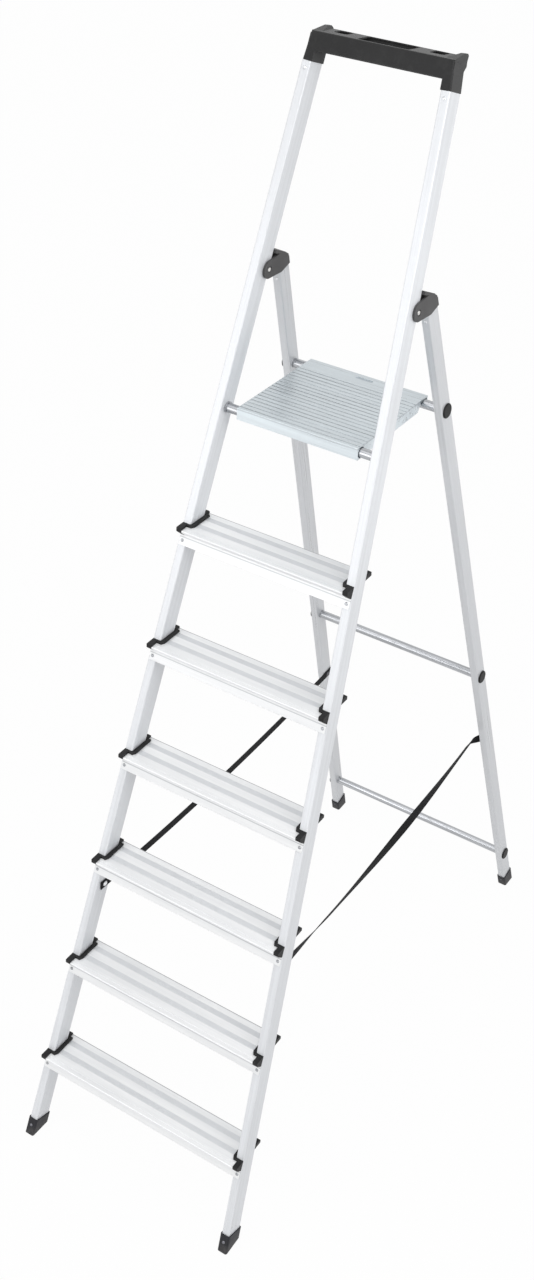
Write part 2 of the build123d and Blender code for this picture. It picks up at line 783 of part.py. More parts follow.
skirt_corner = Vector(hinge_reach - fit_gap, -bracket_skirt_drop)
nose_turn = atan2(skirt_corner.Y, skirt_corner.X) - acos(bracket_nose / skirt_corner.length)
cheek_outline = bracket_rear(bracket_back - cheek_back_inset) + [
    (skirt_corner.X, skirt_corner.Y),
    (bracket_nose * cos(nose_turn), bracket_nose * sin(nose_turn)),
    (0, 0),
    (bracket_nose * sin(lean_f / 2), bracket_nose * cos(lean_f / 2)),
    saddle_end,
]
web_outline = bracket_rear(bracket_back) + [
    (hinge_reach - bracket_wall, -bracket_skirt_drop),
    (bracket_web_place, -bracket_web_drop),
    saddle_end,
]
with BuildPart() as hinge_bracket:
    for side in (1, -1):
        cheek_origin = REAR.from_local_coords((side * cheek_face, 0, 0))
        with BuildSketch(Plane(origin=cheek_origin, x_dir=REAR.y_dir, z_dir=REAR.x_dir)) as cheek_face_sketch:
            with BuildLine():
                Polyline(*cheek_outline, close=True)
            make_face()
            fillet(cheek_face_sketch.vertices().sort_by_distance(bracket_rear_top)[0], bracket_corner)
            Circle(bracket_nose)
        extrude(amount=side * cheek)
    # Web between the cheeks, behind the stile
    web_origin = REAR.from_local_coords((-cheek_face, 0, 0))
    with BuildSketch(Plane(origin=web_origin, x_dir=REAR.y_dir, z_dir=REAR.x_dir)) as web_sketch:
        with BuildLine():
            Polyline(*web_outline, close=True)
        make_face()
        fillet(web_sketch.vertices().sort_by_distance(bracket_rear_top)[0], bracket_corner)
    extrude(amount=2 * cheek_face)
    # Recesses for the pin's heads
    for side in (1, -1):
        with Locations(Location(pivot + Vector(side * pin_floor, 0, 0), (0, 90 * side, 0))):
            Cylinder(
                pin_recess_radius,
                2 * cheek,
                align=(Align.CENTER, Align.CENTER, Align.MIN),
                mode=Mode.SUBTRACT,
            )
    with Locations(Location(pivot, (0, 90, 0))):
        Cylinder(pin_radius + pin_clearance, 8 * cheek_face, mode=Mode.SUBTRACT)
    # Socket for the leg's end, open at the back
    with BuildSketch(REAR.offset(-leg_top_below_pivot + fit_gap)):
        with Locations((0, hinge_reach - fit_gap)):
            Rectangle(stile_width + 2 * fit_gap, 2 * leg_depth, align=(Align.CENTER, Align.MIN))
    extrude(amount=-bracket_skirt_drop, mode=Mode.SUBTRACT)
    # Spigot down the leg's hollow, which the rivet holds
    with BuildSketch(REAR.offset(-bracket_spigot_drop)):
        with Locations((0, hinge_reach + leg_wall + fit_gap)):
            Rectangle(
                stile_width - 2 * leg_wall - 4 * fit_gap,
                bracket_spigot_depth,
                align=(Align.CENTER, Align.MIN),
            )
    extrude(amount=bracket_spigot_drop - leg_top_below_pivot + 2 * fit_gap)
    with Locations(leg_face_plane(-bracket_rivet_drop)):
        Cylinder(rivet_radius + rivet_seat_gap, 2 * leg_depth / 3, mode=Mode.SUBTRACT)
save_both(hinge_bracket.part, "hinge_bracket")
save(with_twin(rivets([leg_face_plane(-bracket_rivet_drop)])), "bracket_rivets")

# Hinge pins, headed at both ends
with BuildPart() as hinge_pin:
    for side in (1, -1):
        with Locations(Location(pivot, (0, 90 * side, 0))):
            Cylinder(pin_radius, pin_floor + pin_end_gap, align=(Align.CENTER, Align.CENTER, Align.MIN))
        head_place = pivot + Vector(side * (pin_floor + pin_end_gap), 0, 0)
        with Locations(Location(head_place, (0, 90 * side, 0))):
            Cone(
                pin_head_radius,
                pin_head_top,
                pin_head_height,
                align=(Align.CENTER, Align.CENTER, Align.MIN),
            )
save_both(hinge_pin.part, "hinge_pin")

# Cross tubes of the rear frame, and the plugs over their ends
for name, height in leg_tube_heights.items():
    with BuildPart() as cross_tube:
        with BuildSketch(Plane.YZ):
            with Locations((leg_y(height), height)):
                Circle(tube_radius)
                Circle(tube_radius - tube_wall, mode=Mode.SUBTRACT)
        extrude(amount=leg_x(height) + half_across - tube_radius * tan(flare) - fit_gap, both=True)
    save(cross_tube.part, f"{name}_tube")
    plug_origin = REAR.from_local_coords((stile_width / 2 + fit_gap / 2, leg_middle, rear_run(height, leg_middle)))
    with BuildPart() as tube_plug:
        with BuildSketch(Plane(origin=plug_origin, z_dir=REAR.x_dir)):
            Circle(plug_radius)
        extrude(amount=plug_height)
        chamfer(tube_plug.faces().sort_by(Axis(plug_origin, REAR.x_dir))[-1].edges(), plug_edge)
        with Locations(Location((plug_origin.X + plug_height / 2, leg_y(height), height), (0, -90, 0))):
            Cylinder(
                tube_radius - tube_wall - fit_gap,
                plug_spigot + plug_height / 2,
                align=(Align.CENTER, Align.CENTER, Align.MIN),
            )
    save_both(tube_plug.part, f"{name}_plug")

# Platform deck
deck_front = front_tube_y - deck_channel
deck_rear = rear_tube_y + tube_radius + deck_hook_gap + deck_hook_wall
rail_x = deck_half_width - rail_inset - rail_thickness
rail_rivet_spots = [
    (rail_x - rail_flange / 2, front_tube_y + deck_channel + place, deck_under - rail_thickness)
    for place in rail_rivet_places
]
with BuildPart() as platform_deck:
    with BuildSketch(Plane.YZ):
        with BuildLine():
            FilletPolyline(
                (deck_front, deck_top - deck_skirt_height),
                (deck_front, deck_top),
                (deck_rear, deck_top),
                (deck_rear, deck_top - deck_hook_height),
                (deck_rear - deck_hook_wall, deck_top - deck_hook_height),
                (deck_rear - deck_hook_wall, deck_under),
                (front_tube_y + deck_channel, deck_under),
                (front_tube_y + deck_channel, deck_top - deck_skirt_height),
                radius=deck_edge_radius,
                close=True,
            )
        make_face()
        with Locations((front_tube_y, front_tube_z)):
            Circle(tube_radius + deck_bore_gap, mode=Mode.SUBTRACT)
        for n in range(deck_groove_count):
            with Locations((deck_front + deck_first_groove + n * deck_groove_pitch, deck_top)):
                Rectangle(
                    deck_groove_width,
                    deck_groove_depth,
                    align=(Align.CENTER, Align.MAX),
                    mode=Mode.SUBTRACT,
                )
    extrude(amount=deck_half_width, both=True)
    # Channel opened out round the tube at both ends
    for side in (1, -1):
        with Locations(Location((side * deck_half_width, front_tube_y, front_tube_z), (0, 90, 0))):
            Cylinder(tube_radius + deck_mouth_gap, 2 * deck_mouth_depth, mode=Mode.SUBTRACT)
    # Ribs across the underside, short of the rails
    with BuildSketch(Plane.YZ):
        for place in deck_stiffener_places:
            with Locations((deck_front + place, deck_under)):
                Rectangle(deck_stiffener_width, deck_stiffener_height, align=(Align.CENTER, Align.MAX))
    extrude(amount=rail_x - rail_flange - fit_gap, both=True)
    # Finger recess in the rear band
    with BuildSketch(Plane.XY.offset(deck_top)):
        with Locations((0, deck_rear - grip_recess_place)):
            SlotOverall(grip_recess_length, grip_recess_width)
    extrude(amount=-grip_recess_depth, mode=Mode.SUBTRACT)
    # Rivet holes for the rails
    for x, y, z in rail_rivet_spots:
        with Locations((x, y, z), (-x, y, z)):
            Cylinder(
                rivet_radius + rivet_seat_gap,
                rail_rivet_length + rivet_seat_gap,
                align=(Align.CENTER, Align.CENTER, Align.MIN),
                mode=Mode.SUBTRACT,
            )
save(platform_deck.part, "platform_deck")

# Rails under the deck's ends, cut back at the rear so that the deck lifts off the rear tube
rail_front = front_tube_y + deck_channel + deck_edge_radius
rail_low = deck_top - deck_skirt_height
exit_angle = radians(rail_exit_angle)
rail_rear = rear_tube_y - (tube_radius + rail_exit_gap) / cos(exit_angle)
with BuildPart() as deck_rail:
    with BuildSketch(Plane.YZ.offset(rail_x)):
        with BuildLine():
            Polyline(
                (rail_front, rail_low),
                (rail_front, deck_under),
                (rail_rear, deck_under),
                (rail_rear, rear_tube_z),
                (rail_rear - (rear_tube_z - rail_low) * tan(exit_angle), rail_low),
                close=True,
            )
        make_face()
    extrude(amount=rail_thickness)
    with BuildSketch(Plane.XY.offset(deck_under)):
        with Locations((rail_x, rail_front)):
            Rectangle(rail_flange, rail_rear - rail_front, align=(Align.MAX, Align.MIN))
    extrude(amount=-rail_thickness)
    with Locations(*rail_rivet_spots):
        Cylinder(rivet_radius + rivet_seat_gap, 4 * rail_thickness, mode=Mode.SUBTRACT)
save_both(deck_rail.part, "deck_rail")
rail_rivet_planes = [Plane(origin=spot, z_dir=(0, 0, -1)) for spot in rail_rivet_spots]
save(with_twin(rivets(rail_rivet_planes, rail_rivet_length)), "deck_rail_rivets")


def make_foot(frame, middle, depth, top_run, screw_plane, sole_y):
    """A boot over the end of a stile or leg: sleeve, flat grooved sole and a screw hole."""
    with BuildPart() as foot:
        with BuildSketch(frame.offset(top_run)):
            with Locations((0, middle)):
                RectangleRounded(stile_width + 2 * foot_wall, depth + 2 * foot_wall, foot_corner)
        extrude(amount=-3 * foot_height)
        split(bisect_by=Plane.XY, keep=Keep.TOP)
        chamfer(foot.faces().sort_by(Axis.Z)[0].edges(), foot_sole_edge)
        with BuildSketch(frame.offset(top_run)):
            with Locations((0, middle)):
                RectangleRounded(stile_width + 2 * fit_gap, depth + 2 * fit_gap, stile_corner)
        sleeve = extrude(amount=-3 * foot_height, mode=Mode.PRIVATE)
        sole_top = Plane.XY.offset(foot_sole - fit_gap)
        add(split(sleeve, bisect_by=sole_top, keep=Keep.TOP, mode=Mode.PRIVATE), mode=Mode.SUBTRACT)
        # Grooves across the sole
        with BuildSketch(Plane.XY):
            for n in (-1, 0, 1):
                with Locations((pivot_half_width, sole_y + n * foot_groove_pitch)):
                    Rectangle(2 * pivot_half_width, foot_groove_width)
        extrude(amount=foot_groove_depth, mode=Mode.SUBTRACT)
        with Locations(screw_plane):
            Cylinder(rivet_radius + rivet_seat_gap, 4 * foot_wall, mode=Mode.SUBTRACT)
    return foot.part


front_foot = make_foot(
    FRONT,
    stile_middle,
    stile_depth,
    front_run(0, stile_front) + foot_height,
    front_face_plane(front_screw_run),
    front_face_y(0) + rear_face / 2,
)
save_both(front_foot, "front_foot")
rear_foot = make_foot(
    REAR,
    leg_middle,
    leg_depth,
    rear_run(0, hinge_reach) + rear_foot_height,
    leg_face_plane(rear_screw_run),
    leg_y(0),
)
save_both(rear_foot, "rear_foot")
front_screw_plane = front_face_plane(front_screw_run).offset(foot_wall)
rear_screw_plane = leg_face_plane(rear_screw_run).offset(foot_wall)
save(with_twin(rivets([front_screw_plane], foot_screw_length + foot_wall)), "front_foot_screws")
save(with_twin(rivets([rear_screw_plane], foot_screw_length + foot_wall)), "rear_foot_screws")

# Spreader straps, hanging slightly when the ladder is open
strap_offset = strap_face_gap + strap_thickness / 2
strap_from = (strap_front * Pos(-strap_offset, 0, 0)).position
strap_to = (strap_rear * Pos(-strap_offset, 0, 0)).position
strap_along = (strap_to - strap_from).normalized()
strap_span = (strap_to - strap_from).length + 2 * strap_end
strap_lift = 4 * strap_sag * strap_end * (strap_span - strap_end) / strap_span**2
strap_plane = Plane(
    origin=strap_from - strap_along * strap_end,
    x_dir=strap_along,
    z_dir=strap_along.cross(Vector(-sin(flare), 0, cos(flare))),
)
strap_skin = strap_face_gap + strap_thickness + 3 * rivet_seat_gap
strap_front_rivet = strap_front * Pos(-strap_skin, 0, 0) * Rot(0, -90, 0)
strap_rear_rivet = strap_rear * Pos(-strap_skin, 0, 0) * Rot(0, -90, 0)
with BuildPart() as strap:
    with BuildSketch(strap_plane):
        with BuildLine():
            edges = [strap_lift + side * strap_width / 2 for side in (1, -1)]
            for edge in edges:
                ThreePointArc((0, edge), (strap_span / 2, edge - strap_sag), (strap_span, edge))
            for end_place in (0, strap_span):
                Line((end_place, edges[0]), (end_place, edges[1]))
        make_face()
    extrude(amount=strap_thickness / 2, both=True)
    with Locations(strap_front_rivet, strap_rear_rivet):
        Cylinder(rivet_radius + rivet_seat_gap, 4 * strap_thickness, mode=Mode.SUBTRACT)
save_both(strap.part, "strap")
save(with_twin(rivets([strap_front_rivet], strap_rivet_length, strap_rivet_head)), "strap_rivets_front")
save(with_twin(rivets([strap_rear_rivet], strap_rivet_length, strap_rivet_head)), "strap_rivets_rear")
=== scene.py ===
"""Looks of a folding step ladder: its finishes, its two webbing straps and a plain studio."""

import logging
from abc import ABC, abstractmethod
from dataclasses import dataclass
from enum import Enum
from math import cos, pi, radians, sin
from typing import ClassVar

import bmesh
import bpy
from mathutils import Matrix, Vector


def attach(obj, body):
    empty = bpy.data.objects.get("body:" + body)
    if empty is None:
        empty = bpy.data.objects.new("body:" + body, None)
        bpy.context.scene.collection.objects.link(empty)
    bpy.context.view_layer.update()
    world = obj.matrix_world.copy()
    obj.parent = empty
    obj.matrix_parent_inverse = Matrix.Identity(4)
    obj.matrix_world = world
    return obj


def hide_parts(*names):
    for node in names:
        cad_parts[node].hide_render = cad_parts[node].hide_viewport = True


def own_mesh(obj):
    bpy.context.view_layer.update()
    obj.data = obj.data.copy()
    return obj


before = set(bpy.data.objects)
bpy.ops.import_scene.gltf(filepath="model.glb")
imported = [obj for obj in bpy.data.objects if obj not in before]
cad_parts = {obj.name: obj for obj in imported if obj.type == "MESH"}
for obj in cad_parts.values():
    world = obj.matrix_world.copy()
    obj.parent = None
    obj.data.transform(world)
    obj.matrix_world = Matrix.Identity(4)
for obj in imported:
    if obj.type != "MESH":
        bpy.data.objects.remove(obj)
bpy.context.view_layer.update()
MM = 0.001
Colour = tuple[float, float, float]
Triple = tuple[float, float, float]
Range = tuple[float, float]
Socket = bpy.types.NodeSocket
Value = float | Socket
Paint = Colour | Socket
log = logging.getLogger("step_ladder")

# Lean and splay of the stiles and legs, as metres along Y or X in a metre of height
LEAN_FRONT = 0.34434
LEAN_REAR = -0.32879
SPLAY = -0.05541
# The stiles' front face at the floor, and the treads' rear edge behind it, rise and number
FRONT_FACE = -0.68251
TREAD_REAR = 0.066
TREAD_RISE = 0.235
TREAD_COUNT = 6
# Ranges that hold most and the middle of a noise pattern's values, and the plain share
NOISE: Range = (0.3, 0.7)
MID_NOISE: Range = (0.35, 0.65)
SHARE: Range = (0.0, 1.0)
WHITE: Colour = (1.0, 1.0, 1.0)


class Side(Enum):
    """The two sides of the ladder, by the sign of X."""

    LEFT = -1
    RIGHT = 1


@dataclass(frozen=True)
class Pattern:
    """A noise pattern: spots in a metre, finer layers, their strength, and its stretch.

    The stretch is a factor along each axis, small where the pattern is long.
    """

    scale: float
    detail: float = 2.0
    roughness: float = 0.5
    stretch: Triple = (1.0, 1.0, 1.0)


class Sheet:
    """A material's node tree, with short calls for the nodes that the finishes share."""

    def __init__(self, material: bpy.types.Material) -> None:
        """Keeps the tree and its shader.

        Args:
            material: The material that the finish paints.
        """
        self.tree = material.node_tree
        self.shader = self.tree.nodes["Principled BSDF"]

    def node(self, kind: str, **settings: object) -> bpy.types.Node:
        """Adds a node.

        Args:
            kind: Blender's name of the node, without its ShaderNode prefix.
            settings: Properties to set on the node.

        Returns:
            The new node.
        """
        made = self.tree.nodes.new("ShaderNode" + kind)
        for name, value in settings.items():
            setattr(made, name, value)
        return made

    def feed(self, socket: Socket, value: Value | Paint) -> None:
        """Links a socket into another, or sets a plain value on it.

        Args:
            socket: The input that is fed.
            value: A socket, a number or a colour.
        """
        if isinstance(value, bpy.types.NodeSocket):
            self.tree.links.new(value, socket)
        elif isinstance(value, tuple) and socket.type == "RGBA":
            socket.default_value = (*value, 1.0)
        else:
            socket.default_value = value

    def set(self, name: str, value: Value | Paint) -> None:
        """Feeds the input of that name on the material's shader."""
        self.feed(self.shader.inputs[name], value)

    def math(
        self, operation: str, first: Value, second: Value = 0.0, clamp: bool = False
    ) -> Socket:
        """Adds a Math node.

        Args:
            operation: Its operation.
            first: First number.
            second: Second number.
            clamp: Whether the result stays from 0 to 1.

        Returns:
            The result's socket.
        """
        made = self.node("Math", operation=operation, use_clamp=clamp)
        self.feed(made.inputs[0], first)
        self.feed(made.inputs[1], second)
        return made.outputs[0]

    def scaled(self, value: Value, factor: float, start: float) -> Socket:
        """Multiplies a number and adds another.

        Args:
            value: The number.
            factor: What it is multiplied by.
            start: What is added then.

        Returns:
            The result's socket.
        """
        result = self.math("MULTIPLY_ADD", value, factor)
        result.node.inputs[2].default_value = start
        return result

    def span(self, value: Value, source: Range, target: Range) -> Socket:
        """Maps one range onto another, smoothly and clamped.

        Args:
            value: The number that is mapped.
            source: Range that it comes from.
            target: Range that it goes to.

        Returns:
            The mapped number's socket.
        """
        made = self.node("MapRange", interpolation_type="SMOOTHSTEP")
        for place, number in enumerate((value, *source, *target)):
            self.feed(made.inputs[place], number)
        return made.outputs[0]

    def mix(self, share: Value, low: Paint, high: Paint, blend: str = "MIX") -> Socket:
        """Mixes two colours.

        Args:
            share: How much of the second colour shows.
            low: First colour.
            high: Second colour.
            blend: Blender's name of the way they mix.

        Returns:
            The mixed colour's socket.
        """
        made = self.node("Mix", data_type="RGBA", blend_type=blend)
        self.feed(made.inputs[0], share)
        self.feed(made.inputs[6], low)
        self.feed(made.inputs[7], high)
        return made.outputs[2]

    def place(self, turn: Triple = (0.0, 0.0, 0.0)) -> Socket:
        """The surface's place in the frame, turned for a pattern.

        Args:
            turn: Euler angles of the pattern's own axes.

        Returns:
            The place's socket.
        """
        made = self.node("Mapping")
        made.inputs["Rotation"].default_value = turn
        self.feed(made.inputs["Vector"], self.node("TexCoord").outputs["Object"])
        return made.outputs[0]

    def axes(self, place: Socket) -> bpy.types.NodeOutputs:
        """Splits a place into its X, Y and Z.

        Args:
            place: The place's socket.

        Returns:
            The three numbers' sockets, by axis.
        """
        made = self.node("SeparateXYZ")
        self.feed(made.inputs[0], place)
        return made.outputs

    def noise(self, place: Socket, pattern: Pattern) -> Socket:
        """Adds a noise pattern.

        Args:
            place: Where the pattern is read.
            pattern: Its sizes.

        Returns:
            A socket of numbers round 0.5.
        """
        stretched = self.node("VectorMath", operation="MULTIPLY")
        self.feed(stretched.inputs[0], place)
        stretched.inputs[1].default_value = pattern.stretch
        made = self.node("TexNoise")
        self.feed(made.inputs["Vector"], stretched.outputs[0])
        made.inputs["Scale"].default_value = pattern.scale
        made.inputs["Detail"].default_value = pattern.detail
        made.inputs["Roughness"].default_value = pattern.roughness
        return made.outputs["Fac"]

    def edges(self, radius: float, reach: Range = (0.01, 0.2)) -> tuple[Socket, Socket]:
        """Softened edges, and how near to one the surface is.

        Args:
            radius: Radius of the softened edge, in metres.
            reach: Turn of the surface at which the edge mark starts and is full.

        Returns:
            The softened normal's socket, and the share of the edge mark: wear, and on the deck a
            painted highlight.
        """
        soft = self.node("Bevel", samples=4)
        soft.inputs["Radius"].default_value = radius
        dot = self.node("VectorMath", operation="DOT_PRODUCT")
        self.feed(dot.inputs[0], soft.outputs[0])
        self.feed(dot.inputs[1], self.node("NewGeometry").outputs["Normal"])
        turned = self.math("SUBTRACT", 1.0, dot.outputs["Value"], clamp=True)
        return soft.outputs[0], self.span(turned, reach, SHARE)

    def bump(
        self, height: Socket, strength: float, depth: float, normal: Socket | None = None
    ) -> Socket:
        """Adds a Bump node.

        Args:
            height: The relief's height, from 0 to 1.
            strength: Share of the relief that shows.
            depth: Its depth in metres.
            normal: Normal that it stands on.

        Returns:
            The new normal's socket.
        """
        made = self.node("Bump")
        made.inputs["Strength"].default_value = strength
        made.inputs["Distance"].default_value = depth
        self.feed(made.inputs["Height"], height)
        if normal is not None:
            self.feed(made.inputs["Normal"], normal)
        return made.outputs[0]


def shade(colour: Colour, factor: float) -> Colour:
    """A colour made lighter or darker.

    Args:
        colour: The colour.
        factor: Factor on each channel, kept below white.

    Returns:
        The new colour.
    """
    red, green, blue = (min(channel * factor, 0.98) for channel in colour)
    return (red, green, blue)


def tones(colour: Colour, factors: Range) -> tuple[Colour, Colour]:
    """The two tones of a colour between which a pattern mixes."""
    low, high = factors
    return shade(colour, low), shade(colour, high)


def eased(value: float, start: float, end: float) -> float:
    """A soft step from 0 to 1.

    Args:
        value: The place that is asked for.
        start: Where the step starts.
        end: Where it is done.

    Returns:
        The step's height there.
    """
    part = min(max((value - start) / (end - start), 0.0), 1.0)
    return part * part * (3.0 - 2.0 * part)


@dataclass(frozen=True)
class Finish(ABC):
    """One surface finish: a material that any number of pieces share."""

    name: str
    colour: Colour
    roughness: float
    metallic: float = 0.0
    gloss: float = 0.5
    sheen: float = 0.0

    def material(self) -> bpy.types.Material:
        """Makes the material.

        Returns:
            The painted material.
        """
        made = bpy.data.materials.new(self.name)
        made.use_nodes = True
        sheet = Sheet(made)
        sheet.set("Metallic", self.metallic)
        sheet.set("Specular IOR Level", self.gloss)
        sheet.set("Sheen Weight", self.sheen)
        self.paint(sheet)
        return made

    def rough(self, sheet: Sheet, value: Socket, source: Range, spread: Range) -> Socket:
        """The finish's roughness, varied by a pattern.

        Args:
            sheet: The material's nodes.
            value: The pattern.
            source: Range of the pattern's values that counts.
            spread: What is added to the roughness at that range's ends.

        Returns:
            The varied roughness.
        """
        low, high = spread
        return sheet.span(value, source, (self.roughness + low, self.roughness + high))

    @abstractmethod
    def paint(self, sheet: Sheet) -> None:
        """Lays out the finish's nodes."""


@dataclass(frozen=True)
class GrooveRows:
    """Grooves, groove bands or lines across an extrusion, in metres, darkened with dirt and
    painted shade.

    Rows follow one another along Y, or along Z where they are upright.
    """

    first: float
    pitch: float
    count: int
    half: float
    tone: float
    lean: float = 0.0
    upright: bool = False
    swept: float = 0.9
    edge: float = 0.0006
    patches: Pattern = Pattern(26.0, 3.0, 0.6, (0.12, 1.0, 1.0))

    def mask(self, sheet: Sheet) -> Socket:
        """Share of dirt on the surface.

        Args:
            sheet: The material's nodes.

        Returns:
            A socket that is near 1 inside the rows, less where they are swept, and 0 outside.
        """
        place = sheet.place()
        axes = sheet.axes(place)
        leaning = sheet.math("MULTIPLY", axes["Z"], self.lean)
        run = axes["Z"] if self.upright else sheet.math("SUBTRACT", axes["Y"], leaning)
        past = sheet.math("SUBTRACT", run, self.first)
        away = sheet.math("PINGPONG", past, self.pitch / 2.0)
        inside = sheet.span(away, (self.half - self.edge, self.half + self.edge), (1.0, 0.0))
        started = sheet.math("GREATER_THAN", past, -self.pitch / 2.0)
        ended = sheet.math("LESS_THAN", past, self.pitch * (self.count - 0.5))
        left = sheet.span(sheet.noise(place, self.patches), MID_NOISE, (self.swept, 1.0))
        held = sheet.math("MULTIPLY", inside, left)
        return sheet.math("MULTIPLY", held, sheet.math("MULTIPLY", started, ended))


@dataclass(frozen=True)
class ExtrudedAluminium(Finish):
    """Mill-finished extrusion: die lines along its run, cloudy patches and edges paled by wear and
    painted highlight.
    """

    run: Triple = (0.0, 0.0, 1.0)
    contrast: Range = (0.8, 1.2)
    lines: Pattern = Pattern(1500.0, stretch=(1.0, 1.0, 0.003))
    line_share: float = 0.07
    streaks: Pattern = Pattern(120.0, 3.0, 0.6, (1.0, 1.0, 0.03))
    streak_share: float = 0.1
    clouds: Pattern = Pattern(9.0, 4.0, 0.6, (1.0, 1.0, 0.35))
    cloud_share: float = 0.07
    tone_rough: float = 0.7
    scuffs: Pattern = Pattern(420.0, 3.0, 0.7, (1.0, 0.12, 0.6))
    scuff_range: Range = (0.58, 0.72)
    scuff_dull: float = 0.12
    edge: float = 0.0006
    edge_share: float = 0.15
    edge_wear_and_highlight_colour: Colour = (0.95, 0.95, 0.95)
    relief: float = 0.03
    relief_depth: float = 0.0001
    rows: tuple[GrooveRows, ...] = ()
    # Height above which the top face is painted darker by a factor, with a soft edge: painted
    # shade.
    painted_top_shade_height: float = 0.0
    painted_top_shade_edge: float = 0.0003
    painted_top_shade: float = 1.0

    def turn(self) -> Triple:
        """Euler angles that lay the pattern's Z along the run.

        Returns:
            The three angles in radians.
        """
        along = Vector(self.run).normalized()
        across = along.orthogonal().normalized()
        euler = Matrix((across, along.cross(across), along)).to_euler("XYZ")
        return (euler.x, euler.y, euler.z)

    def dirt_and_painted_shade(self, sheet: Sheet, colour: Socket) -> Socket:
        """Darkens the metal's top face with painted shade, and its rows with dirt and painted
        shade.

        Args:
            sheet: The material's nodes.
            colour: Colour of the clean metal.

        Returns:
            The darkened colour.
        """
        # The top face above a height is painted darker: painted shade.
        painted_top: Value = 1.0
        if self.painted_top_shade_height:
            top = (self.painted_top_shade_height, self.painted_top_shade_height + self.painted_top_shade_edge)
            painted_top = sheet.span(sheet.axes(sheet.place())["Z"], top, SHARE)
            tint = sheet.mix(painted_top, WHITE, shade(WHITE, self.painted_top_shade))
            colour = sheet.mix(1.0, colour, tint, "MULTIPLY")
        # Rows darken with dirt and painted shade; the nose line, rear edge line and finger recess
        # are painted shade alone.
        for row in self.rows:
            dirt = sheet.math("MULTIPLY", row.mask(sheet), painted_top)
            colour = sheet.mix(dirt, colour, shade(self.colour, row.tone))
        return colour

    def paint(self, sheet: Sheet) -> None:
        """Lays out the metal's nodes."""
        place = sheet.place(self.turn())
        lines = sheet.noise(place, self.lines)
        streaks = sheet.noise(place, self.streaks)
        clouds = sheet.noise(place, self.clouds)
        line_tone = sheet.span(lines, MID_NOISE, (-self.line_share, self.line_share))
        streak_tone = sheet.span(streaks, NOISE, (-self.streak_share, self.streak_share))
        cloud_tone = sheet.span(clouds, NOISE, (-self.cloud_share, self.cloud_share))
        tone = sheet.math("ADD", sheet.math("ADD", line_tone, streak_tone), cloud_tone)
        normal, wear = sheet.edges(self.edge)
        colour = sheet.mix(sheet.scaled(tone, 1.0, 0.5), *tones(self.colour, self.contrast))
        # Pale edges: wear, and on the deck a painted highlight along its edges.
        rubbed = sheet.math("MULTIPLY", wear, self.edge_share)
        colour = sheet.mix(rubbed, colour, self.edge_wear_and_highlight_colour)
        sheet.set("Base Color", self.dirt_and_painted_shade(sheet, colour))
        scuffs = sheet.noise(place, self.scuffs)
        dull = sheet.span(scuffs, self.scuff_range, (0.0, self.scuff_dull))
        rough = sheet.scaled(tone, self.tone_rough, self.roughness)
        sheet.set("Roughness", sheet.math("ADD", rough, dull, clamp=True))
        sheet.set("Normal", sheet.bump(lines, self.relief, self.relief_depth, normal))


@dataclass(frozen=True)
class DrawnTube(Finish):
    """Bare drawn tube across the ladder: bright, with fine lines along X and dull stains."""

    contrast: Range = (0.72, 1.2)
    lines: Pattern = Pattern(700.0, stretch=(0.006, 1.0, 1.0))
    line_share: float = 0.3
    line_rough: float = 0.08
    bands: Pattern = Pattern(240.0, 2.0, 0.6, (0.02, 1.0, 1.0))
    band_share: float = 0.7
    stains: Pattern = Pattern(70.0, 4.0, 0.65, (0.5, 1.0, 1.0))
    stain_range: Range = (0.52, 0.75)
    stain_share: float = 0.3
    stain_shade: float = 0.7
    stain_rough: float = 0.5
    relief: float = 0.012
    relief_depth: float = 0.0001

    def paint(self, sheet: Sheet) -> None:
        """Lays out the metal's nodes."""
        place = sheet.place()
        lines = sheet.noise(place, self.lines)
        line_tone = sheet.span(lines, NOISE, (0.0, self.line_share))
        band_tone = sheet.span(sheet.noise(place, self.bands), NOISE, (0.0, self.band_share))
        tone = sheet.math("ADD", band_tone, line_tone)
        colour = sheet.mix(tone, *tones(self.colour, self.contrast))
        stains = sheet.noise(place, self.stains)
        stain = sheet.span(stains, self.stain_range, (0.0, self.stain_share))
        sheet.set("Base Color", sheet.mix(stain, colour, shade(self.colour, self.stain_shade)))
        rough = sheet.scaled(stain, self.stain_rough, self.roughness)
        line_rough = sheet.span(lines, NOISE, (0.0, self.line_rough))
        sheet.set("Roughness", sheet.math("ADD", rough, line_rough))
        sheet.set("Normal", sheet.bump(lines, self.relief, self.relief_depth))


@dataclass(frozen=True)
class FastenerMetal(Finish):
    """Rivets, pins and screws: tumbled metal with small dents and dirt round the heads."""

    contrast: Range = (1.1, 0.75)
    dents: Pattern = Pattern(900.0, 3.0, 0.6)
    dent_rough: Range = (-0.08, 0.12)
    tarnish: Pattern = Pattern(150.0, 3.0, 0.6)
    tarnish_range: Range = (0.35, 0.7)
    edge: float = 0.0004
    edge_share: float = 0.4
    edge_shade: float = 1.5
    relief: float = 0.2
    relief_depth: float = 0.0002

    def paint(self, sheet: Sheet) -> None:
        """Lays out the metal's nodes."""
        place = sheet.place()
        dents = sheet.noise(place, self.dents)
        normal, wear = sheet.edges(self.edge)
        dirt = sheet.span(sheet.noise(place, self.tarnish), self.tarnish_range, SHARE)
        colour = sheet.mix(dirt, *tones(self.colour, self.contrast))
        rubbed = sheet.math("MULTIPLY", wear, self.edge_share)
        sheet.set("Base Color", sheet.mix(rubbed, colour, shade(self.colour, self.edge_shade)))
        sheet.set("Roughness", self.rough(sheet, dents, NOISE, self.dent_rough))
        sheet.set("Normal", sheet.bump(dents, self.relief, self.relief_depth, normal))


